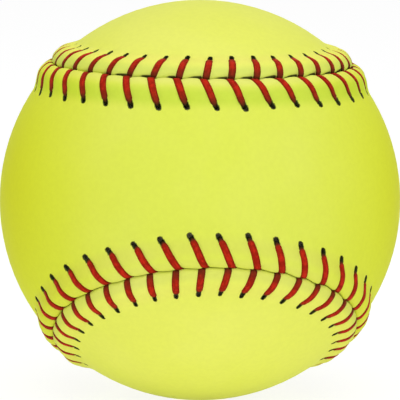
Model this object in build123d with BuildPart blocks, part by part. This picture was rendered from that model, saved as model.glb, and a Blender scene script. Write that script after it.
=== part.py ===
from build123d import *
from collections import namedtuple
from math import acos, atan2, cos, degrees, hypot, pi, radians, sin, sqrt
import os

# Driving dimensions, in millimetres and degrees
ball_circumference = 304.8
cover_thickness = 1.8
cement_thickness = 0.3
neck_width = 44.9            # from seam to seam over the ball, where a panel is narrowest
neck_tilt = 15.0             # how far the front neck looks up from level
cord_diameter = 0.8          # cord laid under each panel edge, which raises the seam
thread_diameter = 0.85
welt_skirt_radius = 6.0      # hollow between a raised edge and the round of the ball
skirt_sink = 0.08            # how far that hollow would dip under the round, for a clear foot line
stitch_count = 88            # on each panel, all the way round the seam
front_lead = 3.15            # how far a stitch of the front panel runs on along the seam from its hole
back_lead = 1.1              # the same on the back panel, whose stitches lean less
stagger_clearance = 0.25     # along the seam, between the two threads where they dive
hole_setback = 6.4           # from the seam to a needle hole, over the ball
hole_clearance = 0.15        # round the thread in its hole
hole_slit = 0.9              # how far a hole is drawn out behind its thread
skive_margin = 0.8           # thinned leather beyond the needle holes
skive_bevel = 1.0            # slope from the thinned leather to its full thickness
thread_lift = 0.15           # thread above the leather where it starts to bend
thread_bend = 0.5            # bend of the thread at its holes
fit_clearance = 0.05

# Radii of the layers, from the ball's middle
ball_radius = ball_circumference / (2 * pi)
cover_inner_radius = ball_radius - cover_thickness
core_radius = cover_inner_radius - cement_thickness
cord_radius = cord_diameter / 2
thread_radius = thread_diameter / 2
seam_gap = thread_diameter + 2 * fit_clearance
stitch_stagger = thread_diameter + stagger_clearance
hole_width = thread_diameter + 2 * hole_clearance
hole_length = hole_width + hole_slit

# The seam is four equal circle arcs, which meet at four corners halfway between the necks
seam_frame = Plane((0, 0, 0), x_dir=(1, 0, 0), z_dir=Vector(0, 0, 1).rotate(Axis.X, -neck_tilt))
corner = sqrt(0.5)
half_neck = neck_width / 2 / ball_radius
pole_lean = (corner - sin(half_neck)) / cos(half_neck)


def ball_direction(right, back, up):
    """A unit direction of the ball, from one given in the seam's own frame."""
    return seam_frame.from_local_coords(Vector(right, back, up)).normalized()


neck_axis = Axis((0, 0, 0), ball_direction(0, -1, 0))
# Round layers are turned about the neck, so that the line that closes them meets the seam squarely
round_plane = Plane((0, 0, 0), x_dir=seam_frame.z_dir, z_dir=neck_axis.direction)
# The arcs in sewing order: the pole that each circles, the corner it leaves and the way it turns
SeamArc = namedtuple("SeamArc", "pole start spin")
upper_arc = SeamArc(ball_direction(0, -pole_lean, 1), ball_direction(1, 0, 1), -1)
left_arc = SeamArc(ball_direction(-1, pole_lean, 0), ball_direction(-1, 0, 1), 1)
lower_arc = SeamArc(ball_direction(0, -pole_lean, -1), ball_direction(-1, 0, -1), -1)
right_arc = SeamArc(ball_direction(1, pole_lean, 0), ball_direction(1, 0, -1), 1)
seam_arcs = [upper_arc, left_arc, lower_arc, right_arc]

seam_angle = radians(upper_arc.pole.get_angle(upper_arc.start))
arc_middle = ball_direction(0, -cos(half_neck), sin(half_neck))
arc_centre = upper_arc.pole * cos(seam_angle)
arc_turn = 2 * (arc_middle - arc_centre).get_angle(upper_arc.start - arc_centre)
seam_length = 4 * radians(arc_turn) * ball_radius * sin(seam_angle)
stitch_pitch = seam_length / stitch_count

# Under the cover's edge: the buried thread lies on the cement, and the cord lies on the thread
hole_angle = hole_setback / ball_radius
front_run = stitch_pitch + stitch_stagger - front_lead
back_run = stitch_pitch - stitch_stagger - back_lead
run_reach = hypot(hole_setback, max(front_run, back_run)) / ball_radius
run_radius = (cover_inner_radius + fit_clearance + thread_radius) / cos(run_reach / 2)
tunnel_radius = run_radius + thread_radius + fit_clearance
skive_angle = (hole_setback + hole_length - hole_width / 2 + skive_margin) / ball_radius

# The raised edge is leather of full thickness rolled over the cord
welt_radius = cover_thickness + cord_radius + fit_clearance
crest_reach = welt_radius + seam_gap / 2
crest_radius = tunnel_radius + cord_radius
crest_height = sqrt(crest_radius**2 - crest_reach**2)
skirt_centre_radius = ball_radius - skirt_sink + welt_skirt_radius
# The hollow's centre is that far from the middle, and touches the rolled edge from outside
skirt_turn = acos(
    (crest_radius**2 + skirt_centre_radius**2 - (welt_radius + welt_skirt_radius) ** 2)
    / (2 * crest_radius * skirt_centre_radius)
)
foot_angle = atan2(crest_reach, crest_height) + skirt_turn


def section_point(angle, radius):
    """A point of a seam section: sideways from the seam, and out from the ball's middle."""
    return (radius * sin(angle), radius * cos(angle))


def cover_height(angle):
    """Radius of the cover's outside on the hollow, or past its foot on the round of the ball."""
    if angle >= foot_angle:
        return ball_radius
    across = skirt_centre_radius * sin(foot_angle - angle)
    hollow = skirt_centre_radius * cos(foot_angle - angle) - sqrt(welt_skirt_radius**2 - across**2)
    return max(hollow, ball_radius)


def section_plane(arc, panel_side):
    """The plane of a seam section at an arc's first corner, X into the panel and Y outwards."""
    towards_pole = (arc.pole - arc.start * arc.pole.dot(arc.start)).normalized()
    into_panel = towards_pole * panel_side
    return Plane((0, 0, 0), x_dir=into_panel, z_dir=into_panel.cross(arc.start))


def lobe_side(index, front):
    """1 where the panel lies inside the arc, as a lobe, and -1 where it is a waist outside it."""
    return 1 if (index % 2 == 1) == front else -1


def arc_axis(arc):
    """The axis that an arc turns about, in its sewing direction."""
    return Axis((0, 0, 0), arc.pole * arc.spin)


def welt_section(plane):
    """Section of the raised edges: each rolled over its cord, then hollow down to the round."""
    crest = (crest_reach, crest_height)
    skirt = section_point(foot_angle, skirt_centre_radius)
    slope = atan2(skirt[1] - crest[1], skirt[0] - crest[0])
    shoulder = (slope + pi) / 2
    edge_top = (seam_gap / 2, crest_height)
    crest_top = (crest[0] + welt_radius * cos(shoulder), crest[1] + welt_radius * sin(shoulder))
    crest_end = (crest[0] + welt_radius * cos(slope), crest[1] + welt_radius * sin(slope))
    # Seen from the hollow's own centre: the crest, the ball's middle and halfway between them
    to_crest = slope + pi
    to_middle = 1.5 * pi - foot_angle
    hollow = (to_crest + to_middle) / 2
    hollow_middle = (
        skirt[0] + welt_skirt_radius * cos(hollow),
        skirt[1] + welt_skirt_radius * sin(hollow),
    )
    hollow_end = section_point(foot_angle, ball_radius - skirt_sink)
    root = (0, ball_radius - cover_thickness / 2)
    with BuildSketch(plane) as section:
        with BuildLine():
            Polyline(hollow_end, root, (0, crest_height), edge_top)
            ThreePointArc(edge_top, crest_top, crest_end)
            ThreePointArc(crest_end, hollow_middle, hollow_end)
        make_face()
        mirror(about=Plane.YZ)
    return section.sketch.faces()


def tunnel_section(plane):
    """Section of the space under the edges: thinned for the thread, with the cords' channels."""
    roof_radius = tunnel_radius / cos(skive_angle / 4)
    with BuildSketch(plane) as section:
        with BuildLine():
            Polyline(
                (0, core_radius),
                (0, roof_radius),
                section_point(skive_angle / 2, roof_radius),
                section_point(skive_angle, roof_radius),
                section_point(skive_angle + skive_bevel / ball_radius, core_radius),
                close=True,
            )
        make_face()
        with Locations((crest_reach, crest_height)):
            Circle(cord_radius + fit_clearance)
            Rectangle(
                2 * (cord_radius + fit_clearance),
                2 * cord_diameter,
                align=(Align.CENTER, Align.MAX),
            )
        mirror(about=Plane.YZ)
    return section.sketch.faces()


def gap_section(plane):
    """Section of the gap between the panels, deep enough to part every layer over the core."""
    with BuildSketch(plane) as section:
        with Locations((0, core_radius - cement_thickness)):
            Rectangle(
                seam_gap,
                2 * (cover_thickness + cement_thickness) + cord_diameter + thread_diameter,
                align=(Align.CENTER, Align.MIN),
            )
    return section.sketch.faces()


def seam_direction(travel, sideways, front):
    """A direction of the ball: so far along the seam, and turned so far into one panel."""
    turn = degrees(travel / (ball_radius * sin(seam_angle))) % (4 * arc_turn)
    index = min(int(turn // arc_turn), 3)
    arc = seam_arcs[index]
    on_seam = arc.start.rotate(arc_axis(arc), turn - index * arc_turn)
    lean = Axis((0, 0, 0), on_seam.cross(arc.pole))
    return on_seam.rotate(lean, degrees(sideways) * lobe_side(index, front))


def stitch(number, front):
    """Directions of a stitch's needle hole and of its dive into the seam."""
    stagger = stitch_stagger / 2 if front else -stitch_stagger / 2
    lead = front_lead if front else back_lead
    dive_travel = (number + 0.5) * stitch_pitch + stagger
    hole = seam_direction(dive_travel - lead, hole_angle, front)
    return hole, seam_direction(dive_travel, 0, front)


def needle_holes(front):
    """Sketch planes of one panel's holes, X away from the seam along the stitch."""
    planes = []
    for number in range(stitch_count):
        hole, dive = stitch(number, front)
        away = (hole - dive * hole.dot(dive)).normalized()
        along = (away - hole * away.dot(hole)).normalized()
        planes.append(Plane(hole * cover_inner_radius, x_dir=along, z_dir=hole))
    return planes


def thread_route(first_front):
    """Points and bends of one thread, which sews the two panels by turns."""
    points, bends = [], []
    for number in range(stitch_count):
        front = first_front == (number % 2 == 0)
        hole, dive = stitch(number, front)
        reach = radians(hole.get_angle(dive))
        # A slanting stitch crosses the raised edge on a longer way
        bend = crest_reach * reach / hole_angle
        centre_height = sqrt(crest_radius**2 - bend**2)
        top_radius = cover_height(hole_angle) + thread_lift + thread_bend
        across = top_radius * sin(reach) - bend
        above = top_radius * cos(reach) - centre_height
        tangent = atan2(above, across) + acos(bend / hypot(across, above))
        peak_radius = centre_height + bend * (1 + cos(tangent)) / sin(tangent)
        points += [hole * run_radius, hole * top_radius, dive * peak_radius, dive * run_radius]
        bends += [thread_bend, thread_bend, bend, thread_bend]
    return points, bends[1:-1]


os.makedirs("parts", exist_ok=True)

# Moulded core, a solid ball of foam
with BuildPart() as core:
    with Locations(round_plane):
        Sphere(core_radius)
core.part.label = "core"
export_step(core.part, "parts/core.step")

# The gap between the panels, which follows the whole seam
with BuildPart() as seam_strip:
    for arc in seam_arcs:
        revolve(gap_section(section_plane(arc, 1)), arc_axis(arc), arc_turn)

# Film of cement on the core, parted at the seam
with BuildPart() as cement:
    with Locations(round_plane):
        Sphere(cover_inner_radius)
        Sphere(core_radius, mode=Mode.SUBTRACT)
    add(seam_strip.part, mode=Mode.SUBTRACT)

# Raised edges on both sides of the seam
with BuildPart() as welts:
    for arc in seam_arcs:
        revolve(welt_section(section_plane(arc, 1)), arc_axis(arc), arc_turn)

# The space inside the cover, with the tunnel that holds the cords and the buried thread
with BuildPart() as tunnel:
    for arc in seam_arcs:
        revolve(tunnel_section(section_plane(arc, 1)), arc_axis(arc), arc_turn)

with BuildPart() as inside:
    with Locations(round_plane):
        Sphere(cover_inner_radius)
    add(tunnel.part)

# The whole cover, hollowed and parted into its two panels
with BuildPart() as cover:
    with Locations(round_plane):
        Sphere(ball_radius)
    add(welts.part)
    add(inside.part, mode=Mode.SUBTRACT)
    add(seam_strip.part, mode=Mode.SUBTRACT)

# Front and back panel, each with its film and its cord
for side, front in (("front", True), ("back", False)):
    along_neck = -1 if front else 0

    with BuildPart() as cement_film:
        add(cement.solids().sort_by(neck_axis)[along_neck])
    cement_film.part.label = f"cement_film_{side}"
    export_step(cement_film.part, f"parts/cement_film_{side}.step")

    # Leather panel with its needle holes
    with BuildPart() as cover_panel:
        add(cover.solids().sort_by(neck_axis)[along_neck])
        with BuildSketch(*needle_holes(front)):
            with Locations((hole_slit / 2, 0)):
                SlotOverall(hole_length, hole_width)
        extrude(amount=2 * cover_thickness, mode=Mode.SUBTRACT)
    cover_panel.part.label = f"cover_panel_{side}"
    export_step(cover_panel.part, f"parts/cover_panel_{side}.step")

    # Cord under the panel's edge, which raises the seam
    with BuildPart() as seam_cord:
        for index, arc in enumerate(seam_arcs):
            with BuildSketch(section_plane(arc, lobe_side(index, front))):
                with Locations((crest_reach, crest_height)):
                    Circle(cord_radius)
            revolve(axis=arc_axis(arc), revolution_arc=arc_turn)
    seam_cord.part.label = f"seam_cord_{side}"
    export_step(seam_cord.part, f"parts/seam_cord_{side}.step")

# Two threads, one on each needle, which cross in the seam at every stitch
for name, first_front in (("stitch_thread_first", True), ("stitch_thread_second", False)):
    route, route_bends = thread_route(first_front)
    with BuildPart() as thread:
        with BuildLine() as thread_path:
            FilletPolyline(*route, radius=route_bends)
        with BuildSketch(Plane(thread_path.line @ 0, z_dir=thread_path.line % 0)):
            Circle(thread_radius)
        sweep()
    thread.part.label = name
    export_step(thread.part, f"parts/{name}.step")
    route_length = sum(edge.length for edge in thread_path.edges())
    section_area = pi * thread_radius**2
    print(f"{name}: {route_length:.0f} mm long, volume {thread.part.volume:.1f} mm3,")
    print(f"  section times length {section_area * route_length:.1f} mm3")

print(f"seam {seam_length:.1f} mm, stitch pitch {stitch_pitch:.2f} mm")
print(f"raised edge {crest_radius + welt_radius - ball_radius:.2f} mm high")
print(f"foot of the raised edge {foot_angle * ball_radius:.2f} mm from the seam")
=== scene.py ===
import bpy
import bmesh
import math
import random
from mathutils import Matrix, Vector, noise


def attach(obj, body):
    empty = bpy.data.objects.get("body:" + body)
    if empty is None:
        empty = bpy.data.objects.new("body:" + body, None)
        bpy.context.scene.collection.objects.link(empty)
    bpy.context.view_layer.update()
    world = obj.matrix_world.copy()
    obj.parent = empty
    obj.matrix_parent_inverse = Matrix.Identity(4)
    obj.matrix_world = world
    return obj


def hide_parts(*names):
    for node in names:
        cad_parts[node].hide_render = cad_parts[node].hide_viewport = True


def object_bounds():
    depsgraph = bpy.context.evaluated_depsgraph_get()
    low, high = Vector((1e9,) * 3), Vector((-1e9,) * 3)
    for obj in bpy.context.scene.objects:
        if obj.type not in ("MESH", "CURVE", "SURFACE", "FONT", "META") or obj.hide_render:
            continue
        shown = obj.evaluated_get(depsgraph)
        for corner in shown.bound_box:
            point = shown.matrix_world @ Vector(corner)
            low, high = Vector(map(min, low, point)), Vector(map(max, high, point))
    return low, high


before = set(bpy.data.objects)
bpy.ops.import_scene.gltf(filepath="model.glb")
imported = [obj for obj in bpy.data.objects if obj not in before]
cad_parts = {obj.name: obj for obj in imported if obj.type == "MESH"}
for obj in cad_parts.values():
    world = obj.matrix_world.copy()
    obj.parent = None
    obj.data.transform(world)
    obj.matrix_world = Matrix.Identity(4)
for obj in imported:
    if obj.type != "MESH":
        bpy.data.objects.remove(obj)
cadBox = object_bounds()
scene = bpy.context.scene
print("frame loaded:", ", ".join(sorted(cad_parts)))

# The ball. Lengths are in millimetres until a piece is finished, in the seam's own frame:
# x to the right, y to the back, z up from the front neck
ball = {
    "round": 304.8,        # circumference
    "neckWidth": 44.9,     # narrowest part of a panel, from seam to seam over the ball
    "neckTilt": 15.0,      # degrees that the front neck looks up
    "stitches": 88,        # on each panel
}
radius = ball["round"] / (2 * math.pi)
halfNeck = ball["neckWidth"] / 2 / radius
poleLean = (math.sqrt(0.5) - math.sin(halfNeck)) / math.cos(halfNeck)
fullTurn = 2 * math.pi


def direction(right, back, up):
    return Vector((right, back, up)).normalized()


def turnAbout(axis, begin, end):
    a = begin - axis * axis.dot(begin)
    b = end - axis * axis.dot(end)
    return math.atan2(axis.dot(a.cross(b)), a.dot(b)) % fullTurn


# Pole, first corner and turning sense of the seam's four arcs, in sewing order
arcs = [
    (direction(0, -poleLean, 1), direction(1, 0, 1), -1),
    (direction(-1, poleLean, 0), direction(-1, 0, 1), 1),
    (direction(0, -poleLean, -1), direction(-1, 0, -1), -1),
    (direction(1, poleLean, 0), direction(1, 0, -1), 1),
]
neckEdge = direction(0, -math.cos(halfNeck), math.sin(halfNeck))
seamAngle = arcs[0][0].angle(arcs[0][1])
arcTurn = 2 * turnAbout(arcs[0][0] * arcs[0][2], arcs[0][1], neckEdge)
arcLength = arcTurn * radius * math.sin(seamAngle)
seamLength = 4 * arcLength
pitch = seamLength / ball["stitches"]
poleReach = seamAngle * radius      # from the seam to the middle of a lobe
print("seam", round(seamLength, 1), "mm, stitch pitch", round(pitch, 3), "mm")


def clamp(x, low=0.0, high=1.0):
    return min(max(x, low), high)


def ease(x):
    x = clamp(x)
    return x * x * (3 - 2 * x)


def wrapSeam(s):
    return (s + seamLength / 2) % seamLength - seamLength / 2


def seamPlace(point, front):
    # how far along the seam a point of a panel lies, and how far it is from the seam
    n = point.normalized()
    lobes, waists = ((1, 3), (0, 2)) if front else ((0, 2), (1, 3))
    index = max(lobes, key=lambda i: arcs[i][0].dot(n))
    pole, start, spin = arcs[index]
    turn = turnAbout(pole * spin, start, n)
    inside = turn <= arcTurn + 1e-5 or turn > fullTurn - 1e-5
    if not inside:
        index = max(waists, key=lambda i: arcs[i][0].dot(n))
        pole, start, spin = arcs[index]
        turn = turnAbout(pole * spin, start, n)
    if turn > (arcTurn + fullTurn) / 2:
        turn = 0.0
    turn = min(turn, arcTurn)
    away = (pole.angle(n) - seamAngle) * radius
    return (index + turn / arcTurn) * arcLength, -away if inside else away


def seamPoint(s, d, r, front):
    # the way back: a point at that place, r from the ball's middle
    turn = (s % seamLength) / arcLength
    index = min(int(turn), 3)
    pole, start, spin = arcs[index]
    onSeam = Matrix.Rotation((turn - index) * arcTurn * spin, 3, pole) @ start
    side = 1 if (index % 2 == 1) == front else -1
    towards = (pole - onSeam * pole.dot(onSeam)).normalized() * side
    angle = d / radius
    return (onSeam * math.cos(angle) + towards * math.sin(angle)) * r


# Leather cover panels
leather = {
    "columns": 14,         # mesh columns for each stitch
    "crestHeight": 1.85,   # raised edge above the round of the ball
    "crestReach": 2.75,    # from the seam to the crest
    "skirtWidth": 6.3,     # from the crest to the foot
    "edgeDrop": 1.5,       # from the crest down to where the edge stands upright
    "edgeRound": 2.4,      # 2 would make that round an ellipse
    "bandEdge": 10.0,      # beyond this the leather is plain
    "inside": 46.80,       # radius of the underside
    "thinned": 47.80,      # radius of the underside along the edge
    "outside": (0.05, 0.6),            # the outer side starts so far above it, full after this
    "channel": (2.15, 3.30, 48.72),    # for the cord: from, to and radius of its roof
    "holeRows": (5.0, 0.26, 14),       # mesh rows that the holes are cut in: first, step, count
    "pinch": 0.40,         # how far a stitch draws the leather in
    "pinchWidth": 1.4,
    "pinchEnd": (5.0, 3.0),            # it dies out from here, over so much
    "groove": 0.20,        # bed of the thread
    "grooveWidth": 0.95,
    "grooveEnd": (0.8, 1.2),           # it dies out from so far before the hole, over so much
    "rimDip": 0.16,        # round a hole
    "rimWidth": 1.1,       # in half sizes of the hole
    # painted shade round a hole's rim, in half sizes of the hole
    "rimShade": 0.25,
    "lumps": 0.06,         # unevenness of the raised edge
    "lumpScale": 0.45,
    "gap": 0.05,           # half of the cleft between the panels
    "gapAtStitch": 0.20,   # the threads open it by this much more
    "gapWidth": 0.8,       # over this much of the seam
    "loose": 0.16,         # a slack stretch of the seam opens by this much
    "slackPlace": 0.30,    # where it is slackest, as a share of the upper arc from its right end
    "slackLeast": 0.1,
    "slackPower": 8,       # how fast it tightens from there
    "shutting": (0.12, 0.25, 0.5),     # in pitches past a pair: from, over, and more if it gapes
    "wave": 0.28,          # wander of the cleft
    "waveScale": 0.24,
    "sway": (0.2, 2.4),    # the leather follows the cleft up to here, and less over so much
    "pairPlace": 0.54,     # where a pair of threads dives, as a share of the pitch
    "step": 0.20,          # the cleft runs askew between the pairs and steps back at each
    "stepPlace": 0.86,
    "shadeBand": 0.6,      # painted shade of the slack cleft: only this near to the seam
    "shadeReach": 0.10,    # up the edges
    "shadeFade": 0.15,
}
stitching = {  # pairs are for the front and the back panel
    "seed": (11, 23),
    "dive": (0.16, -0.62),         # along the seam, from the middle of the pitch
    "hole": (-2.66, -1.88),        # a hole lies this far along the seam
    "setback": (7.00, 6.47),       # and this far from it
    "wander": 0.13,
    "setbackWander": 1.5,          # times that
    "holeLength": (2.30, 2.05),
    "holeWidth": 1.06,
    "holeBlunt": 3.0,              # 2 would make it an ellipse
    "holeBand": (4.85, 8.5),       # every hole lies between these distances from the seam
    "holeSize": (0.9, 1.1),        # from and to, as are the next two
    "tightness": (0.85, 1.15),
    "gape": (0.25, 1.3),
    "width": 1.74,         # thread pulled flat over the leather
    "thickness": 0.56,
    "proud": 0.70,         # how much of its half stands above its bed
    "round": 0.85,         # thread where it runs inside
    "runRadius": 47.30,    # the buried thread, from the ball's middle
    "rimShare": 0.87,      # the thread bends over the hole's rim at this share of the setback
    "lip": 0.6,            # and over the panel's edge at this distance from the seam
    "twistLength": 2.2,    # before the edge it starts to turn along the seam
    "part": 0.35,          # the two threads part by this much inside the cleft
    "sides": 12,
}


def weltHeight(d):
    across = d - leather["crestReach"]
    if across >= 0:
        x = across / leather["skirtWidth"]
        return leather["crestHeight"] * (1 - x * x) ** 3 if x < 1 else 0.0
    p = leather["edgeRound"]
    x = min(-across / (leather["crestReach"] - leather["gap"]), 1.0)
    return leather["crestHeight"] - leather["edgeDrop"] * (1 - (1 - x**p) ** (1 / p))


def stitchTable(front):
    # dive and hole of every stitch of a panel, each a little off its exact place
    side = 0 if front else 1
    draw = random.Random(stitching["seed"][side])
    wander, times = stitching["wander"], stitching["setbackWander"]
    table = []
    for number in range(ball["stitches"]):
        middle = (number + 0.5) * pitch
        dive = middle + stitching["dive"][side] + draw.uniform(-wander, wander)
        hole = middle + stitching["hole"][side] + draw.uniform(-wander, wander)
        setback = stitching["setback"][side] + draw.uniform(-times, times) * wander
        table.append({
            "dive": dive,
            "hole": hole,
            "setback": setback,
            "lean": math.atan((dive - hole) / setback),
            "length": stitching["holeLength"][side],
            "size": draw.uniform(*stitching["holeSize"]),
            "tight": draw.uniform(*stitching["tightness"]),
            "gape": draw.uniform(*stitching["gape"]),
        })
    return table


stitches = {True: stitchTable(True), False: stitchTable(False)}


def legPlace(one, d):
    return one["dive"] + (one["hole"] - one["dive"]) * d / one["setback"]


def nearestStitch(s, d, front):
    # the stitch whose leg passes nearest, and how far off it is, along the seam
    side = 0 if front else 1
    run = stitching["dive"][side] - stitching["hole"][side]
    lean = run * d / stitching["setback"][side]
    number = math.floor((s - stitching["dive"][side] + lean) / pitch)
    best = None
    for near in (number - 1, number, number + 1):
        one = stitches[front][near % ball["stitches"]]
        off = wrapSeam(s - legPlace(one, d))
        if best is None or abs(off) < abs(best[1]):
            best = (one, off)
    return best


def holePlace(s, d, one):
    # place on a needle hole: 1 on its rim, less inside, and its own two axes
    ds, dd = wrapSeam(s - one["hole"]), d - one["setback"]
    along = dd * math.cos(one["lean"]) - ds * math.sin(one["lean"])
    across = dd * math.sin(one["lean"]) + ds * math.cos(one["lean"])
    long = one["length"] / 2 * one["size"]
    wide = stitching["holeWidth"] / 2 * one["size"]
    blunt = stitching["holeBlunt"]
    place = (abs(along / long) ** blunt + abs(across / wide) ** blunt) ** (1 / blunt)
    return place, along, across


def seamNoise(s, scale, seed):
    # noise that closes on itself round the seam
    turn = fullTurn * s / seamLength
    reach = scale * seamLength / fullTurn
    return noise.noise(Vector((math.cos(turn) * reach, math.sin(turn) * reach, seed)))


def relief(s, d, front):
    # how far the leather rises or dips from the plain raised edge
    if d > leather["bandEdge"]:
        return 0.0
    one, off = nearestStitch(s, max(d, 0.0), front)
    e = off * math.cos(one["lean"])
    begin, length = leather["pinchEnd"]
    reach = 1 - ease((d - begin) / length)
    pinch = leather["pinch"] * one["tight"] * math.exp(-(e / leather["pinchWidth"]) ** 2)
    before, length = leather["grooveEnd"]
    bed = leather["groove"] * math.exp(-(e / leather["grooveWidth"]) ** 4)
    bed *= 1 - ease((d - one["setback"] + before) / length)
    pastRim = max(holePlace(s, d, one)[0] - 1, 0.0)
    rim = leather["rimDip"] * math.exp(-(pastRim / leather["rimWidth"]) ** 2)
    seed = 3.0 if front else 9.0
    lumps = leather["lumps"] * seamNoise(s, leather["lumpScale"], d * 0.5 + seed)
    return -reach * (pinch + bed) - rim + lumps * reach


def upperness(s):
    # 1 in the middle of the upper arc, -1 in the middle of the lower one
    return math.cos(fullTurn * (s - arcLength / 2) / seamLength)


def slack(s):
    # the seam is slack on the right of the upper arc and drawn tight elsewhere
    near = 0.5 + 0.5 * math.cos(fullTurn * (s - leather["slackPlace"] * arcLength) / seamLength)
    least = leather["slackLeast"]
    return least + (1 - least) * near ** leather["slackPower"]


def looseness(s):
    # how far the slack cleft gapes: most just past a pair of stitches, nearly shut before the next
    askew = s / pitch - leather["pairPlace"]
    gape = stitches[True][math.floor(askew) % ball["stitches"]]["gape"]
    begin, length, more = leather["shutting"]
    closing = ease((askew % 1.0 - begin) / (length + more * gape))
    uneven = clamp(0.8 + 0.9 * seamNoise(s, leather["lumpScale"], 70.0), 0.3, 1.2)
    return slack(s) * gape * (1 - closing) * uneven


def cleftShift(s, d, front):
    # sideways move of the edge: the cleft wanders, and opens where the threads dive
    begin, length = leather["sway"]
    fade = 1 - ease((d - begin) / length)
    if fade <= 0:
        return 0.0
    wave = leather["wave"] * seamNoise(s, leather["waveScale"], 40.0)
    askew = (s / pitch - leather["pairPlace"]) % 1.0      # from one pair of dives to the next
    turn = leather["stepPlace"]
    tooth = 2 * askew / turn - 1 if askew < turn else 1 - 2 * (askew - turn) / (1 - turn)
    wave += leather["step"] * tooth * upperness(s)
    off = min(abs(nearestStitch(s, 0.0, side)[1]) for side in (True, False))
    opening = math.exp(-(off / leather["gapWidth"]) ** 2)
    wide = leather["gapAtStitch"] * opening * slack(s) + leather["loose"] * looseness(s)
    return fade * ((wave if front else -wave) + wide)


def leatherTop(s, d, front):
    return radius + weltHeight(d) + relief(s, d, front)


def panelProfile():
    # section of a panel at a corner of the seam, from the lobe's middle inside,
    # round the edge, to the lobe's middle outside: distance from the seam, radius
    band, thin, gap = leather["bandEdge"], leather["thinned"], leather["gap"]
    near, far, roof = leather["channel"]
    plain = poleReach - band
    first, step, count = leather["holeRows"]
    holeRows = [first + step * i for i in range(count)]
    section = [(poleReach - plain * i / 6, leather["inside"]) for i in range(7)]
    section += [(9.6, leather["inside"])]
    section += [(d, thin) for d in [9.1] + holeRows[::-1] + [far]]
    section += [(far - 0.08, roof), (near + 0.08, roof), (near, thin), (0.9, thin)]
    section += [(gap, thin + 0.35 * i) for i in range(4)]
    rows = [gap + 0.001, 0.10, 0.20, 0.32, 0.5, 0.72, 1.0, 1.3, 1.62, 1.95, 2.3, 2.65, 3.0]
    rows += [3.35, 3.7, 4.05, 4.4, 4.72] + holeRows + [8.7, 9.1, 9.5]
    section += [(d, radius + weltHeight(d)) for d in rows]
    section += [(band + plain * i / 9, radius) for i in range(10)]
    return section


def sectionEdges(bm):
    corner, lobe = arcs[0][1], arcs[3][0]
    into = (lobe - corner * corner.dot(lobe)).normalized()
    last, geom = None, []
    for d, r in panelProfile():
        angle = d / radius
        vert = bm.verts.new((corner * math.cos(angle) + into * math.sin(angle)) * r)
        geom.append(vert)
        if last:
            geom.append(bm.edges.new((last, vert)))
        last = vert
    return geom


def spreadWaist(verts):
    # beyond the band, a waist's rows are spread so that the last one lies on the neck's middle line
    pole = arcs[0][0]
    edge = leather["bandEdge"] / radius
    for vert in verts:
        n = vert.co.normalized()
        past = pole.angle(n) - seamAngle - edge
        if past < 1e-6:
            continue
        m = (n - pole * pole.dot(n)).normalized()
        begin = seamAngle + edge
        end = math.atan2(pole.z, -m.z)
        angle = begin + (end - begin) * past / (seamAngle - edge)
        vert.co = (pole * math.cos(angle) + m * math.sin(angle)) * vert.co.length


def plainPanel():
    # a quarter of the front panel, as half of a lobe and half of a waist, mirrored twice
    bm = bmesh.new()
    steps = leather["columns"] * ball["stitches"] // 8
    for pole in (arcs[3][0], arcs[0][0]):
        before = set(bm.verts)
        bmesh.ops.spin(bm, geom=sectionEdges(bm), cent=(0, 0, 0), axis=pole,
                       angle=-arcTurn / 2, steps=steps)
        if pole == arcs[0][0]:
            spreadWaist([v for v in bm.verts if v not in before])
    bmesh.ops.remove_doubles(bm, verts=bm.verts[:], dist=1e-4)
    for axis in ("Z", "X"):
        bmesh.ops.mirror(bm, geom=bm.verts[:] + bm.edges[:] + bm.faces[:], axis=axis,
                         matrix=Matrix(), merge_dist=1e-3)
    bmesh.ops.remove_doubles(bm, verts=bm.verts[:], dist=1e-4)
    bmesh.ops.recalc_face_normals(bm, faces=bm.faces[:])
    return bm


def punchHoles(bm, front):
    # opens every needle hole through both sides of the leather, rounds its rim,
    # and gives the cut leather in it its own finish, painted near black as shade
    nearest, farthest = stitching["holeBand"]
    doomed = []
    for face in bm.faces:
        s, d = seamPlace(face.calc_center_median(), front)
        if nearest < d < farthest:
            one = nearestStitch(s, d, front)[0]
            if holePlace(s, d, one)[0] < 1:
                doomed.append(face)
    bmesh.ops.delete(bm, geom=doomed, context="FACES")
    rims = {}
    for edge in bm.edges:
        if edge.is_boundary:
            s, d = seamPlace((edge.verts[0].co + edge.verts[1].co) / 2, front)
            one = nearestStitch(s, d, front)[0]
            rims.setdefault(one["dive"], (one, []))[1].append(edge)
    for one, edges in rims.values():
        for vert in {v for edge in edges for v in edge.verts}:
            s, d = seamPlace(vert.co, front)
            place, along, across = holePlace(s, d, one)
            along, across = along / place, across / place
            dd = along * math.cos(one["lean"]) + across * math.sin(one["lean"])
            ds = across * math.cos(one["lean"]) - along * math.sin(one["lean"])
            vert.co = seamPoint(one["hole"] + ds, one["setback"] + dd, vert.co.length, front)
        for face in bmesh.ops.bridge_loops(bm, edges=edges)["faces"]:
            face.material_index = 1
        for edge in edges:
            edge.smooth = False
    bmesh.ops.recalc_face_normals(bm, faces=bm.faces[:])
    return len(rims)


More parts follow.
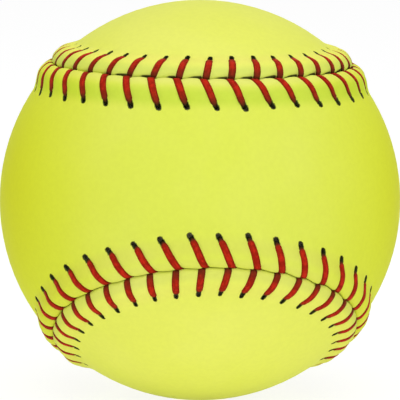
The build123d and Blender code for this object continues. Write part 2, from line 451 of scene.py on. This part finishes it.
def shapePanel(bm, front):
    # raises the pillows between the stitches, beds the threads and notes what the finish needs
    across = bm.verts.layers.float.new("seamAcross")
    shade = bm.verts.layers.float.new("holeShade")
    under = bm.verts.layers.float.new("underside")
    start, depth = leather["outside"]
    for vert in bm.verts:
        s, d = seamPlace(vert.co, front)
        r = vert.co.length
        vert[across] = d
        outer = ease((r - leather["thinned"] - start) / depth)
        vert[under] = 1 - outer
        if d > leather["bandEdge"]:
            continue
        one = nearestStitch(s, d, front)[0]
        # painted shade round the rim of a hole
        vert[shade] = 1 - ease((holePlace(s, d, one)[0] - 1.0) / leather["rimShade"])
        # painted shade in the slack cleft
        if d < leather["shadeBand"]:
            paintedShade = clamp(1.6 * looseness(s) + 0.8 * slack(s) - 0.2)
            past = d - leather["gap"] - leather["shadeReach"]
            vert[shade] = paintedShade * (1 - ease(past / leather["shadeFade"]))
        rise = relief(s, d, front) * outer
        vert.co = seamPoint(s, d + cleftShift(s, d, front), r + rise, front)


def finishMesh(bm, name, materials, slot, *nodes):
    # turns the piece into the CAD frame, in metres
    toFrame = Matrix.Rotation(math.radians(-ball["neckTilt"]), 4, "X") @ Matrix.Scale(0.001, 4)
    bmesh.ops.transform(bm, matrix=toFrame, verts=bm.verts[:])
    for face in bm.faces:
        face.smooth = True
    mesh = bpy.data.meshes.new(name)
    bm.to_mesh(mesh)
    bm.free()
    for material in materials:
        mesh.materials.append(material)
    piece = bpy.data.objects.new(name, mesh)
    scene.collection.objects.link(piece)
    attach(piece, "root")
    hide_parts(*nodes)
    mesh.calc_loop_triangles()
    print(name, len(mesh.loop_triangles), "triangles")


# Materials
def newMaterial(name, **values):
    material = bpy.data.materials.new(name)
    material.use_nodes = True
    shader = material.node_tree.nodes["Principled BSDF"]
    for socket, value in values.items():
        shader.inputs[socket.replace("_", " ")].default_value = value
    return material, material.node_tree, shader


def feed(tree, socket, value):
    if isinstance(value, bpy.types.NodeSocket):
        tree.links.new(value, socket)
    else:
        socket.default_value = value


def textured(tree, kind, source, scale, **values):
    node = tree.nodes.new(kind)
    tree.links.new(source, node.inputs["Vector"])
    feed(tree, node.inputs["Scale"], scale)
    for socket, value in values.items():
        node.inputs[socket].default_value = value
    return node


def noisy(tree, source, scale, detail):
    return textured(tree, "ShaderNodeTexNoise", source, scale, Detail=detail).outputs["Fac"]


def mapped(tree, source, low, high, outLow=0.0, outHigh=1.0):
    node = tree.nodes.new("ShaderNodeMapRange")
    node.interpolation_type = "SMOOTHSTEP"
    for socket, value in (("Value", source), ("From Min", low), ("From Max", high),
                          ("To Min", outLow), ("To Max", outHigh)):
        feed(tree, node.inputs[socket], value)
    return node.outputs["Result"]


def mixed(tree, factor, first, second, blend="MIX"):
    node = tree.nodes.new("ShaderNodeMix")
    node.data_type = "RGBA"
    node.blend_type = blend
    for socket, value in ((0, factor), (6, first), (7, second)):
        feed(tree, node.inputs[socket], value)
    return node.outputs[2]


def combined(tree, operation, *values):
    node = tree.nodes.new("ShaderNodeMath")
    node.operation = operation
    for socket, value in enumerate(values):
        feed(tree, node.inputs[socket], value)
    return node.outputs[0]


def bumped(tree, shader, height, strength, distance):
    node = tree.nodes.new("ShaderNodeBump")
    node.inputs["Strength"].default_value = strength
    node.inputs["Distance"].default_value = distance
    tree.links.new(height, node.inputs["Height"])
    tree.links.new(node.outputs["Normal"], shader.inputs["Normal"])


def attribute(tree, name):
    node = tree.nodes.new("ShaderNodeAttribute")
    node.attribute_name = name
    return node.outputs["Fac"]


def objectPlace(tree):
    return tree.nodes.new("ShaderNodeTexCoord").outputs["Object"]


def newGroup(name, colours, numbers):
    # a finish: named colours and numbers go in, what a surface needs comes out
    group = bpy.data.node_groups.new(name, "ShaderNodeTree")
    for label in colours + numbers:
        kind = "NodeSocketColor" if label in colours else "NodeSocketFloat"
        group.interface.new_socket(name=label, in_out="INPUT", socket_type=kind)
    for label, kind in (("Color", "Color"), ("Roughness", "Float"), ("Height", "Float")):
        group.interface.new_socket(name=label, in_out="OUTPUT", socket_type="NodeSocket" + kind)
    taken = group.nodes.new("NodeGroupInput").outputs
    given = group.nodes.new("NodeGroupOutput").inputs
    return group, taken, given


def finished(name, group, values, specular, strength, distance):
    # a material that takes its colour, roughness and surface from a group
    material, tree, shader = newMaterial(name, Specular_IOR_Level=specular)
    placed = tree.nodes.new("ShaderNodeGroup")
    placed.node_tree = group
    for socket, value in values.items():
        placed.inputs[socket].default_value = value
    tree.links.new(placed.outputs["Color"], shader.inputs["Base Color"])
    tree.links.new(placed.outputs["Roughness"], shader.inputs["Roughness"])
    bumped(tree, shader, placed.outputs["Height"], strength, distance)
    return material


hideMarks = {
    # where a tint starts and where it is full, in metres along an axis
    # flank and lobe: painted shade, deeper towards the sides of the ball
    "flankshade": (0.016, 0.050),
    "lobe": (0.038, 0.052),
    "rear": (-0.005, 0.040),
    # height at which the painted crest and valley shading turns from its below colours to its above
    # colours
    "above": (-0.010, 0.020),
    # the same in millimetres from the seam
    # painted light and shade on the welt's crest and in the valley beside it
    "crest": (3.4, 1.4),
    "valleyShadingNear": (2.4, 4.6),
    "valleyShadingFar": (8.5, 5.6),
    # how fine the patterns are
    "cloud": 45,
    "speck": 900,
    "pores": 5200,
    # painted shade of the holes' rims and of the cleft
    "paintedShade": (0.022, 0.026, 0.008, 1),
}


def hideGroup():
    # dyed leather: cloudy dye with a painted sheen in its blue, painted shade deeper towards the
    # side lobes, tinted towards the back, painted light and shade on the crest and in the valley
    # beside the seam, painted shade at the holes and in the slack cleft, suede underneath, pebbled
    # grain
    group, taken, given = newGroup(
        "hide", ["DyeAndSheen", "Cloud", "Flankshade", "Lobe", "Rear", "CrestShadingAbove", "CrestShadingBelow", "ValleyShadingAbove",
                 "ValleyShadingBelow", "Suede"], ["Grain"])
    place = objectPlace(group)
    cloud = noisy(group, place, hideMarks["cloud"], 3)
    # the dye's blue holds a painted sheen
    colour = mixed(group, mapped(group, cloud, 0.35, 0.7), taken["DyeAndSheen"], taken["Cloud"])
    ways = group.nodes.new("ShaderNodeSeparateXYZ")
    group.links.new(place, ways.inputs["Vector"])
    sideways = combined(group, "ABSOLUTE", ways.outputs["X"])
    # painted shade towards the sides (flank and lobe), and a tint towards the back
    for mark, way in (("flankshade", sideways), ("lobe", sideways), ("rear", ways.outputs["Y"])):
        colour = mixed(group, mapped(group, way, *hideMarks[mark]), colour, taken[mark.title()])
    across = attribute(group, "seamAcross")
    # the painted light and shade of the welt differs above and below the ball's middle
    above = mapped(group, ways.outputs["Z"], *hideMarks["above"])
    crest = mapped(group, across, *hideMarks["crest"])
    valleyShading = combined(group, "MULTIPLY", mapped(group, across, *hideMarks["valleyShadingNear"]),
                      mapped(group, across, *hideMarks["valleyShadingFar"]))
    # crest and valley: painted light and shade, one set of colours above and one below
    for mask, label in ((crest, "CrestShading"), (valleyShading, "ValleyShading")):
        tint = mixed(group, above, taken[label + "Below"], taken[label + "Above"])
        colour = mixed(group, mask, colour, tint, "MULTIPLY")
    speck = noisy(group, place, hideMarks["speck"], 2)
    colour = mixed(group, 1.0, colour, mapped(group, speck, 0.3, 0.7, 0.985, 1.01), "MULTIPLY")
    under = attribute(group, "underside")
    colour = mixed(group, under, colour, taken["Suede"])
    # painted shade at the holes' rims and in the slack cleft
    hole = mapped(group, attribute(group, "holeShade"), 0.45, 0.95, 0.0, 0.9)
    colour = mixed(group, hole, colour, hideMarks["paintedShade"])
    group.links.new(colour, given["Color"])
    rough = mapped(group, cloud, 0.3, 0.7, 0.54, 0.62)
    group.links.new(combined(group, "MULTIPLY_ADD", under, 0.3, rough), given["Roughness"])
    cells = textured(group, "ShaderNodeTexVoronoi", place, taken["Grain"])
    cells.feature = "SMOOTH_F1"
    pores = noisy(group, place, hideMarks["pores"], 2)
    grain = combined(group, "MULTIPLY_ADD", pores, 0.4, cells.outputs["Distance"])
    group.links.new(grain, given["Height"])
    return group


hides = {  # each panel is cut from its own hide, which takes the dye in its own way; the dye and cloud colours carry a painted sheen in their blue, the flank and lobe colours are painted shade towards the sides, and the crest and valley tints are painted light and shade
    "front": {"DyeAndSheen": (0.765, 0.850, 0.098, 1), "Cloud": (0.782, 0.856, 0.118, 1),
              "Flankshade": (0.768, 0.836, 0.026, 1), "Lobe": (0.725, 0.755, 0.018, 1),
              "Rear": (0.775, 0.838, 0.052, 1),
              "CrestShadingAbove": (1.08, 1.02, 1.60, 1), "CrestShadingBelow": (1.00, 0.97, 1.20, 1),
              "ValleyShadingAbove": (0.82, 0.915, 0.66, 1), "ValleyShadingBelow": (0.96, 0.93, 1.10, 1),
              "Suede": (0.52, 0.50, 0.26, 1), "Grain": 1500},
    "back": {"DyeAndSheen": (0.860, 0.908, 0.140, 1), "Cloud": (0.876, 0.914, 0.165, 1),
             "Flankshade": (0.850, 0.895, 0.110, 1), "Lobe": (0.830, 0.870, 0.090, 1),
             "Rear": (0.800, 0.860, 0.072, 1),
             "CrestShadingAbove": (0.84, 0.89, 0.92, 1), "CrestShadingBelow": (0.88, 0.89, 1.00, 1),
             "ValleyShadingAbove": (1.06, 1.01, 1.08, 1), "ValleyShadingBelow": (0.99, 0.965, 1.04, 1),
             "Suede": (0.52, 0.50, 0.26, 1), "Grain": 1450},
}


def shadedCutLeatherMaterial():
    # the cut walls of the holes, painted near black as shade
    material, tree, shader = newMaterial("shadedCutLeather", Roughness=0.95, Specular_IOR_Level=0.0)
    fibre = noisy(tree, objectPlace(tree), 2500, 3)
    colour = mixed(tree, fibre, (0.034, 0.040, 0.014, 1), (0.120, 0.135, 0.048, 1))
    tree.links.new(colour, shader.inputs["Base Color"])
    return material


threadFinish = {
    "main": (0.355, 0.014, 0.004, 1),
    "pale": (0.60, 0.024, 0.008, 1),
    # painted shade along the thread's edges
    "side": (0.165, 0.009, 0.002, 1),
    # painted shade of the thread, darkest in the holes and the cleft
    "deep": (0.032, 0.027, 0.008, 1),
    "drawn": 0.16,     # fibres lie along the thread
    "fibres": 5.0,     # how fine, as are the next two
    "ply": 0.9,
    "patch": 0.8,
}


def threadMaterial():
    material, tree, shader = newMaterial("waxedRedThread", Specular_IOR_Level=0.04)
    strand = tree.nodes.new("ShaderNodeUVMap")
    strand.uv_map = "strand"
    drawn = tree.nodes.new("ShaderNodeMapping")
    drawn.inputs["Scale"].default_value = (1, threadFinish["drawn"], 1)
    tree.links.new(strand.outputs["UV"], drawn.inputs["Vector"])
    fibres = noisy(tree, drawn.outputs["Vector"], threadFinish["fibres"], 3)
    ply = textured(tree, "ShaderNodeTexWave", strand.outputs["UV"], threadFinish["ply"],
                   Distortion=1.5)
    ply.bands_direction = "DIAGONAL"
    patch = noisy(tree, strand.outputs["UV"], threadFinish["patch"], 2)
    tone = mapped(tree, combined(tree, "ADD", fibres, patch), 0.82, 1.22)
    colour = mixed(tree, tone, threadFinish["main"], threadFinish["pale"])
    # painted shade along the thread's edges
    colour = mixed(tree, attribute(tree, "flankshade"), colour, threadFinish["side"])
    # painted shade of the thread, darkest in the holes and the cleft
    colour = mixed(tree, attribute(tree, "paintedThreadShade"), colour, threadFinish["deep"])
    tree.links.new(colour, shader.inputs["Base Color"])
    tree.links.new(mapped(tree, fibres, 0.3, 0.7, 0.62, 0.5), shader.inputs["Roughness"])
    height = combined(tree, "MULTIPLY_ADD", ply.outputs["Fac"], 0.4, fibres)
    bumped(tree, shader, height, 0.35, 0.00008)
    return material


def mottleGroup():
    # plain inner stuff: two shades in patches, with a fine rough surface
    group, taken, given = newGroup("mottle", ["Light", "Dark"], ["Scale"])
    patch = noisy(group, objectPlace(group), taken["Scale"], 4)
    colour = mixed(group, mapped(group, patch, 0.3, 0.7), taken["Light"], taken["Dark"])
    group.links.new(colour, given["Color"])
    group.links.new(mapped(group, patch, 0.2, 0.8, 0.65, 0.95), given["Roughness"])
    group.links.new(patch, given["Height"])
    return group


innerStuff = {  # finish, strength of its surface and the nodes that it is on
    "mouldedFoam": (
        {"Light": (0.80, 0.74, 0.60, 1), "Dark": (0.70, 0.63, 0.48, 1), "Scale": 900},
        0.3, ["core"]),
    "latexCement": (
        {"Light": (0.55, 0.50, 0.32, 1), "Dark": (0.36, 0.32, 0.19, 1), "Scale": 260},
        0.4, ["cement_film_front", "cement_film_back"]),
    "cottonCord": (
        {"Light": (0.85, 0.82, 0.74, 1), "Dark": (0.68, 0.64, 0.55, 1), "Scale": 2600},
        0.8, ["seam_cord_front", "seam_cord_back"]),
}
mottle = mottleGroup()
for name, (values, strength, nodeNames) in innerStuff.items():
    material = finished(name, mottle, values, 0.15, strength, 0.0002)
    for node in nodeNames:
        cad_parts[node].data.materials.clear()
        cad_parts[node].data.materials.append(material)

hide = hideGroup()
shadedCutLook = shadedCutLeatherMaterial()
threadLook = threadMaterial()
print("materials made")

base = plainPanel()
toBack = Matrix.Rotation(math.pi, 4, Vector((1, 0, 1)))
for front in (True, False):
    panel = base.copy()
    if not front:
        bmesh.ops.transform(panel, matrix=toBack, verts=panel.verts[:])
    punched = punchHoles(panel, front)
    shapePanel(panel, front)
    side = "front" if front else "back"
    leatherLook = finished("opticLeather" + side.title(), hide, hides[side], 0.05, 0.12, 0.00008)
    finishMesh(panel, "coverPanel" + side.title(), [leatherLook, shadedCutLook], "cover_leather",
               "cover_panel_" + side)
    print("needle holes:", punched)
base.free()


# Stitching threads
overLeather = [  # from the hole to the cleft: share of the setback, width, painted shade on each panel
    (0.86, 0.92, 0.62, 0.30),
    (0.80, 1.00, 0.46, 0.08),
    (0.71, 1.02, 0.32, 0.0),
    (0.62, 1.03, 0.18, 0.0),
    (0.52, 1.03, 0.06, 0.0),
    (0.425, 1.03, 0.0, 0.07),
    (0.335, 1.02, 0.0, 0.18),
    (0.245, 1.01, 0.0, 0.32),
    (0.16, 1.00, 0.03, 0.48),
    (0.088, 0.98, 0.10, 0.62),
]


def stitchStations(one, other, front):
    # a thread out of its hole, over the leather, down the cleft and under to its next hole:
    # seam place, distance, radius, panel, half width, half thickness, painted shade
    wide, thick, slim = stitching["width"] / 2, stitching["thickness"] / 2, stitching["round"] / 2
    run = stitching["runRadius"]

    def station(d, r, width, thickness, paintedShade):
        return legPlace(one, d), d, r, front, width, thickness, paintedShade

    def topAt(d):
        return leatherTop(legPlace(one, d), d, front)

    back = one["setback"]
    rim = topAt(stitching["rimShare"] * back)
    lip = topAt(stitching["lip"])
    # the last number of each station is painted shade: full in the hole and deep in the cleft
    stations = [
        station(0.965 * back, run + 0.40, slim, slim, 1.0),
        station(0.945 * back, rim - 0.60, slim * 1.02, slim * 0.9, 1.0),
        station(0.91 * back, rim - 0.08, wide * 0.70, thick * 1.05, 0.80),
    ]
    for share, swell, paintedShadeFront, paintedShadeBack in overLeather:
        d = share * back
        top = topAt(d) + thick * stitching["proud"]
        # painted shade of the legs, stronger along the upper seam
        shade = paintedShadeFront * (0.55 + 0.45 * upperness(one["hole"])) if front else paintedShadeBack
        stations.append(station(d, top, wide * swell, thick, shade))
    deep = one["dive"] + (stitching["part"] if front else -stitching["part"])
    stations += [
        station(0.25, lip - 0.22, wide * 0.92, thick * 0.9, 0.45 if front else 0.8),
        (deep, 0.06, lip - 0.80, front, slim * 1.1, thick * 0.8, 1.0),
        (deep, -0.10, run + 0.30, front, slim, slim * 0.8, 1.0),
    ]
    onward = wrapSeam(other["hole"] - deep)
    for share in (0.2, 0.45, 0.7, 0.9):
        s = deep + onward * share
        stations.append((s, other["setback"] * share, run, not front, slim, slim, 1.0))
    return stations


def threadStations(firstFront):
    count = ball["stitches"]
    stations = []
    for number in range(count):
        front = firstFront == (number % 2 == 0)
        nextOne = stitches[not front][(number + 1) % count]
        stations += stitchStations(stitches[front][number], nextOne, front)
    return stations[:-2]


def threadRing(stations, points, i):
    # half width and half thickness of the thread at a station, as vectors
    s, d, r, front, width, thickness, shade = stations[i]
    along = (points[min(i + 1, len(points) - 1)] - points[max(i - 1, 0)]).normalized()
    square = along.cross(points[i].normalized()).normalized()
    # in the cleft the flat thread turns to lie along the seam
    seamwise = (seamPoint(s + 0.05, d, r, front) - seamPoint(s - 0.05, d, r, front)).normalized()
    seamwise *= math.copysign(1, seamwise.dot(square))
    twist = 1 - ease((d - stitching["lip"]) / stitching["twistLength"])
    sideways = square.lerp(seamwise, twist).normalized()
    up = sideways.cross(along).normalized()
    return sideways * width / max(sideways.dot(square), 0.7), up * thickness


def sewThread(stations):
    # a long grid rolled up along the stations, flat over the leather and round inside
    bm = bmesh.new()
    paintedShade = bm.verts.layers.float.new("paintedThreadShade")
    flankshade = bm.verts.layers.float.new("flankshade")
    uv = bm.loops.layers.uv.new("strand")
    sides, last = stitching["sides"], len(stations) - 1
    bmesh.ops.create_grid(bm, x_segments=sides, y_segments=last, size=1)
    spots = {}      # where a point lies: round the thread, along it
    for vert in bm.verts:
        spots[vert] = round((vert.co.x + 1) / 2 * sides), round((vert.co.y + 1) / 2 * last)
    points = [seamPoint(*place[:4]) for place in stations]
    travel = [0.0]
    for i in range(last):
        travel.append(travel[i] + (points[i + 1] - points[i]).length)
    girth = math.pi * stitching["round"]
    for face in bm.faces:
        for loop in face.loops:
            j, i = spots[loop.vert]
            loop[uv].uv = (girth * j / sides, travel[i])
    rings = [threadRing(stations, points, i) for i in range(last + 1)]
    for vert, (j, i) in spots.items():
        turn = fullTurn * j / sides
        vert.co = points[i] + rings[i][0] * math.cos(turn) + rings[i][1] * math.sin(turn)
        # painted shade of the thread
        vert[paintedShade] = stations[i][-1]
        # painted shade along the thread's edges
        vert[flankshade] = abs(math.cos(turn)) ** 3
    bmesh.ops.remove_doubles(bm, verts=bm.verts[:], dist=1e-4)
    bmesh.ops.edgeloop_fill(bm, edges=[e for e in bm.edges if e.is_boundary])
    bmesh.ops.recalc_face_normals(bm, faces=bm.faces[:])
    print("thread of", round(travel[-1]), "mm")
    return bm


for name, firstFront in (("First", True), ("Second", False)):
    finishMesh(sewThread(threadStations(firstFront)), "stitchThread" + name, [threadLook], "thread",
               "stitch_thread_" + name.lower())

# Floor, lamps and camera
studio = {
    "floorSize": 6.0,
    "bounce": (0.97, 0.97, 0.97, 1),   # floor as the object sees it
    "shown": (0.25, 0.25, 0.25, 1),    # what the camera sees of light and shadow on the floor
    "glow": 0.85,                      # and the white under them
    "table": 0.16,                     # light from under the floor, as from a light table
    "ambient": 0.45,
}


def seenRays(tree):
    path = tree.nodes.new("ShaderNodeLightPath").outputs
    seen = combined(tree, "MAXIMUM", path["Is Camera Ray"], path["Is Glossy Ray"])
    return combined(tree, "MAXIMUM", seen, path["Is Transmission Ray"])


def joined(tree, kind, *inputs):
    node = tree.nodes.new(kind)
    for socket, value in zip(node.inputs, inputs):
        tree.links.new(value, socket)
    return node.outputs[0]


def lit(tree, kind, colour, strength=None):
    node = tree.nodes.new(kind)
    node.inputs["Color"].default_value = colour
    if strength is not None:
        node.inputs["Strength"].default_value = strength
    return node.outputs[0]


white = (1, 1, 1, 1)
floorLook = bpy.data.materials.new("whiteFloor")
floorLook.use_nodes = True
tree = floorLook.node_tree
tree.nodes.remove(tree.nodes["Principled BSDF"])
shown = joined(tree, "ShaderNodeAddShader", lit(tree, "ShaderNodeBsdfDiffuse", studio["shown"]),
               lit(tree, "ShaderNodeEmission", white, studio["glow"]))
bounce = joined(tree, "ShaderNodeAddShader", lit(tree, "ShaderNodeBsdfDiffuse", studio["bounce"]),
                lit(tree, "ShaderNodeEmission", white, studio["table"]))
face = joined(tree, "ShaderNodeMixShader", seenRays(tree), bounce, shown)
fromBelow = tree.nodes.new("ShaderNodeNewGeometry").outputs["Backfacing"]
clear = lit(tree, "ShaderNodeBsdfTransparent", white)
face = joined(tree, "ShaderNodeMixShader", fromBelow, face, clear)
tree.links.new(face, tree.nodes["Material Output"].inputs["Surface"])

bm = bmesh.new()
bmesh.ops.create_grid(bm, x_segments=1, y_segments=1, size=studio["floorSize"] / 2)
bmesh.ops.translate(bm, vec=(0, 0, cadBox[0].z), verts=bm.verts[:])
floorMesh = bpy.data.meshes.new("floor")
bm.to_mesh(floorMesh)
bm.free()
floorMesh.materials.append(floorLook)
floor = bpy.data.objects.new("floor", floorMesh)
scene.collection.objects.link(floor)

lamps = [  # name, place, size, watts
    ("topLamp", (0.0, -0.25, 1.3), 1.4, 4.2),
    ("frontLamp", (0.0, -1.1, 1.1), 1.4, 8.8),
    ("sideLamp", (0.9, -1.6, 0.3), 1.0, 0.7),
]
for name, place, size, watts in lamps:
    lamp = bpy.data.lights.new(name, "AREA")
    lamp.size = size
    lamp.energy = watts
    holder = bpy.data.objects.new(name, lamp)
    holder.location = place
    holder.rotation_euler = (-Vector(place)).to_track_quat("-Z", "Y").to_euler()
    scene.collection.objects.link(holder)

shot = {"azimuth": -5.14, "elevation": 6.88, "roll": 0.72, "away": 0.7953, "lens": 295.0}
cam = bpy.data.cameras.new("camera")
cam.lens = shot["lens"]
cam.sensor_width = 36
cam.clip_start, cam.clip_end = 0.05, 50
camera = bpy.data.objects.new("camera", cam)
a, e = math.radians(shot["azimuth"]), math.radians(shot["elevation"])
back = Vector((math.sin(a) * math.cos(e), -math.cos(a) * math.cos(e), math.sin(e)))
camera.location = back * shot["away"]
look = (-back).to_track_quat("-Z", "Y").to_matrix()
camera.rotation_euler = (look @ Matrix.Rotation(math.radians(shot["roll"]), 3, "Z")).to_euler()
scene.collection.objects.link(camera)
scene.camera = camera

world = bpy.data.worlds.new("studio")
world.use_nodes = True
scene.world = world
tree = world.node_tree
tree.nodes.remove(tree.nodes["Background"])
wash = joined(tree, "ShaderNodeMixShader", seenRays(tree),
              lit(tree, "ShaderNodeBackground", white, studio["ambient"]),
              lit(tree, "ShaderNodeBackground", white, 1.0))
tree.links.new(wash, tree.nodes["World Output"].inputs["Surface"])
scene.view_settings.view_transform = "Standard"
print("studio set")
